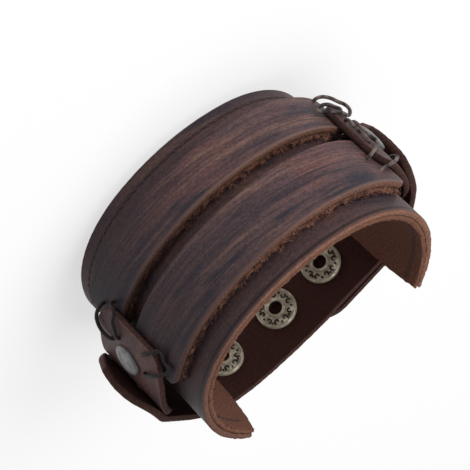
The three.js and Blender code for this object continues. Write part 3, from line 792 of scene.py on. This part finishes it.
# Snaps: antique brass ring studs clinched through the inner strap. The flange that faces the wrist has a
# raised rim and collar, and in the recess between them a plain ring of curls and beads, dark with patina.
brass_finish = metal_finish("antique_brass", (0.58, 0.52, 0.41, 1), (0.38, 0.335, 0.25, 1), 0.60, 0.40)
patina_finish = metal_finish("brass_patina", (0.060, 0.048, 0.036, 1), (0.022, 0.018, 0.014, 1), 0.62, 0.5)
snap_stations = [91.3 * mm, 110.6 * mm, 128.9 * mm]
flange_radius = 5.6 * mm
flange_height = 1.1 * mm
flange_foot = -0.6 * mm
bore_radius = 1.85 * mm
barrel_wall = 0.5 * mm
knob_radius = 2.9 * mm
knob_height = 2.6 * mm
stud_disc = 0.4 * mm
stud_disc_radius = 4.3 * mm
disc_foot = strap_leather + layer_gap
knob_top = disc_foot + stud_disc + knob_height
flange_face = flange_foot - flange_height
recess = flange_face + 0.55 * mm
ring_profile = [
    (0.3 * mm, knob_top - barrel_wall),
    (bore_radius - 0.2 * mm, knob_top - barrel_wall),
    (bore_radius, knob_top - barrel_wall - 0.3 * mm),
    (bore_radius, flange_face + 0.25 * mm),
    (bore_radius + 0.12 * mm, flange_face + 0.03 * mm),
    (bore_radius + 0.35 * mm, flange_face - 0.08 * mm),
    (bore_radius + 0.62 * mm, flange_face + 0.03 * mm),
    (bore_radius + 0.8 * mm, recess - 0.05 * mm),
    (bore_radius + 0.95 * mm, recess),
    (flange_radius - 0.8 * mm, recess),
    (flange_radius - 0.65 * mm, recess - 0.12 * mm),
    (flange_radius - 0.45 * mm, flange_face + 0.28 * mm),
    (flange_radius - 0.2 * mm, flange_face + 0.3 * mm),
    (flange_radius, flange_face + 0.55 * mm),
    (flange_radius, flange_foot + 0.35 * mm),
    (flange_radius - 0.3 * mm, flange_foot + 0.5 * mm),
    (bore_radius + barrel_wall, flange_foot + 0.5 * mm),
    (bore_radius + barrel_wall, disc_foot),
    (stud_disc_radius, disc_foot),
    (stud_disc_radius, disc_foot + stud_disc),
    (knob_radius, disc_foot + stud_disc),
    (knob_radius - 0.25 * mm, disc_foot + stud_disc + 0.6 * mm),
    (knob_radius, knob_top - 0.7 * mm),
    (knob_radius - 0.3 * mm, knob_top),
]
curl_count = 10
curl_ring = (bore_radius + flange_radius) / 2 + 0.12 * mm
curl_wire = 0.25 * mm
curl_points = 9
curl_start = 0.6
curl_sweep = 4.4
curl_wide = 0.78 * mm
curl_narrowing = 0.46 * mm
curl_level = recess - 0.12 * mm
bead_radius = 0.3 * mm
bead_ring = curl_ring + 0.42 * mm
bead_level = recess - 0.08 * mm
for index, station in enumerate(snap_stations):
    ring = turned(f"snap_ring_{index + 1}", ring_profile)
    ring.data.materials.append(brass_finish)
    ring.data.materials.append(patina_finish)
    for face in ring.data.polygons:
        in_bore = face.center.xy.length < bore_radius + 0.05 * mm
        face.material_index = 1 if in_bore else 0
    ornament = [ring]
    for k in range(curl_count):
        turn = 2 * math.pi * k / curl_count + 0.3 * index
        curl = bpy.data.curves.new("curl", "CURVE")
        curl.dimensions = "3D"
        curl.bevel_depth = curl_wire
        curl.bevel_resolution = 1
        curl.use_fill_caps = True
        line = curl.splines.new("POLY")
        line.points.add(curl_points - 1)
        for i, point in enumerate(line.points):
            share = i / (curl_points - 1)
            sweep = curl_start + curl_sweep * share
            wide = curl_wide - curl_narrowing * share
            x = curl_ring + wide * math.cos(sweep)
            y = wide * math.sin(sweep) * (1 if k % 2 else -1)
            point.co = (*(Matrix.Rotation(turn, 3, "Z") @ Vector((x, y, curl_level))), 1)
            point.radius = 1.15 - 0.5 * share
        ornament.append(add_object("curl", curl))
        bead_turn = Matrix.Rotation(turn + math.pi / curl_count, 3, "Z")
        bead_place = bead_turn @ Vector((bead_ring, 0, bead_level))
        bpy.ops.object.select_all(action="DESELECT")
        bpy.ops.mesh.primitive_ico_sphere_add(subdivisions=2, radius=bead_radius, location=bead_place)
        ornament.append(bpy.context.object)
    for piece in ornament[1:]:
        pick(piece)
        if piece.type == "CURVE":
            bpy.ops.object.convert(target="MESH")
        piece.data.materials.clear()
        piece.data.materials.append(patina_finish)
    bpy.ops.object.select_all(action="DESELECT")
    for piece in ornament:
        piece.select_set(True)
    bpy.context.view_layer.objects.active = ring
    bpy.ops.object.join()
    seat(ring, station, base_middle, inner_face)
    bpy.ops.object.shade_smooth_by_angle(angle=math.radians(40))
    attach(ring, "root")
    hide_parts(f"snap_stud_{index + 1}")

# Snap cap: the brass cap and socket of the closed snap, fixed through the outer strap. The socket stands
# round the third stud's knob, and the cap is a plain dome.
socket_wall = 0.5 * mm
socket_radius = knob_radius + 0.3 * mm
cap_radius = 6.2 * mm
cap_dome = 1.8 * mm
cap_foot = strap_pitch + strap_leather + 0.1 * mm
socket_floor = knob_top + 0.3 * mm
cap_profile = [
    (0.3 * mm, socket_floor),
    (socket_radius, socket_floor),
    (socket_radius, strap_pitch),
    (socket_radius + socket_wall, strap_pitch),
    (socket_radius + socket_wall, cap_foot),
    (cap_radius - 0.15 * mm, cap_foot),
    (cap_radius, cap_foot + 0.2 * mm),
    (cap_radius, cap_foot + 0.5 * mm),
    *[
        (cap_radius * math.cos(a), cap_foot + socket_wall + cap_dome * math.sin(a))
        for a in (math.radians(d) for d in (10, 22, 35, 48, 61, 74, 84))
    ],
]
snap_cap = turned("snap_cap_dome", cap_profile)
seat(snap_cap, snap_stations[-1], base_middle, inner_face)
add_piece(snap_cap, "snap_cap", brass_finish)

# Lacing: thin waxed cord ties the tabs to the bands' ends. Each route lists station, height along the
# wrist and height above the base, and the cord is a round curve through it.
lace_radius = 0.5 * mm
lace_finish, lace_tree, lace_shader = new_material("waxed_cord")
lace_place = add_node(lace_tree, "ShaderNodeTexCoord").outputs["Object"]
lace_noise = stretched_noise(lace_tree, lace_place, (420, 420, 420), 3)
lace_strands = stretched_noise(lace_tree, lace_place, (3200, 3200, 3200), 2)
lace_side = add_node(lace_tree, "ShaderNodeSeparateXYZ", {"Vector": lace_place}).outputs["X"]
# Painted shade: the cord darkens from light brown at the cap side to near black at the stud side.
lace_side_shade = mix_colour(lace_tree, spread(lace_tree, lace_side, 20 * mm, -20 * mm),
                       (0.016, 0.011, 0.013, 1), (0.210, 0.155, 0.135, 1))
lace_colour = mix_colour(lace_tree, spread(lace_tree, lace_noise, 0.35, 0.65),
                         (0.014, 0.009, 0.010, 1), lace_side_shade)
lace_tree.links.new(lace_colour, lace_shader.inputs["Base Color"])
lace_shader.inputs["Roughness"].default_value = 0.6
lace_shader.inputs["Specular IOR Level"].default_value = 0.25
lace_bump = add_node(lace_tree, "ShaderNodeBump",
                     {"Strength": 0.5, "Distance": 0.1 * mm, "Height": lace_strands})
lace_tree.links.new(lace_bump.outputs[0], lace_shader.inputs["Normal"])
laces = [
    ("lace_stud_side_far", 1, [
        (37.3, 17.4, 2.6), (37.3, 17.4, 4.4), (36.6, 18.6, 6), (36.4, 20.4, 6.8), (37.5, 21, 6.8),
        (39, 21, 6.8), (40.2, 21.9, 6.8), (41.2, 22.8, 6.8), (42.3, 23.5, 6.6), (42.9, 23.7, 5.4),
        (43, 23.7, 3.6), (43.5, 23.2, 2.6), (44.4, 22.4, 2.4), (45, 21.8, 3.2), (45.1, 21.6, 5),
        (45.1, 20.9, 6.2), (45, 19.2, 6.7), (44.6, 17.4, 6.8), (43.4, 15.9, 6.8), (41.8, 15.3, 6.8),
        (40.7, 14.8, 6.1), (40.2, 14.2, 4.4), (40.2, 14.2, 2.6),
    ]),
    ("lace_stud_side_near", 1, [
        (40.6, 32.6, 4.8), (40.5, 32.7, 6), (39, 34, 6.9), (37.4, 35.6, 6.7), (36.3, 36.9, 5.7),
        (36.7, 37.7, 5), (37.9, 38.4, 4.7), (38.5, 39.4, 4.6), (38.4, 40.6, 4.6), (39.2, 41.3, 4.8),
        (40.3, 40.7, 5.5), (41.6, 39.1, 6.8), (43.5, 36.7, 6.9), (45, 34.9, 6.6), (45.4, 34.2, 5.6),
        (45.4, 34.2, 4.6),
    ]),
    ("lace_cap_side_far", -1, [
        (40, 9.9, 2.6), (40, 9.9, 4.3), (41, 10.1, 5.6), (42.5, 11.3, 6.7), (43.2, 13.6, 7.4),
        (43.6, 15.7, 8), (43.6, 17.5, 7.8), (43, 18.6, 7), (41.6, 18.9, 6.8), (39.6, 18.3, 6.8),
        (37.4, 17.7, 6.3), (35.9, 16.9, 5.4), (35.2, 15.7, 4.9), (35.9, 14.8, 5.3), (37.4, 15.2, 6.6),
        (39.4, 16.3, 6.9), (41, 17, 6.8), (41.8, 17.2, 5.8), (41.9, 17.2, 4.6),
    ]),
    ("lace_cap_side_run", -1, [
        (39.9, 20.4, 4.6), (39.8, 20.6, 5.9), (39.2, 21.8, 6.8), (39, 24, 6.8), (39, 26.5, 6.8),
        (39.1, 28.6, 6.8), (39.5, 29.9, 6.1), (39.7, 30.2, 4.6),
    ]),
    ("lace_cap_side_near_1", -1, [
        (42.6, 20.6, 4.6), (42.5, 20.8, 6), (42, 22, 6.8), (41.8, 24.5, 6.8), (41.9, 27.2, 6.8),
        (42.4, 29, 6.9), (42, 30.4, 7), (40.6, 31.8, 6.9), (38.8, 33, 6.7), (37.1, 34, 5.6),
        (36.3, 34.4, 4.2), (36.2, 34.5, 2.6),
    ]),
    ("lace_cap_side_near_2", -1, [
        (45.2, 33.6, 4.6), (45.4, 34, 6.2), (45.4, 35, 6.9), (43.8, 36.4, 6.9), (41.2, 37.9, 6.2),
        (38.8, 38.4, 4.9), (37.3, 38.7, 4.1), (37, 38.7, 2.6),
    ]),
]
for name, sign, route in laces:
    cord = bpy.data.curves.new(f"{name}_cord", "CURVE")
    cord.dimensions = "3D"
    cord.bevel_depth = lace_radius
    cord.bevel_resolution = 3
    cord.resolution_u = 6
    cord.use_fill_caps = True
    line = cord.splines.new("BEZIER")
    line.bezier_points.add(len(route) - 1)
    for point, (station, height, level) in zip(line.bezier_points, route):
        point.co = loop_place(sign * station * mm, level * mm, height * mm)
        point.handle_left_type = "AUTO"
        point.handle_right_type = "AUTO"
    piece = add_object(f"{name}_cord", cord)
    pick(piece)
    bpy.ops.object.convert(target="MESH")
    add_piece(piece, name, lace_finish)
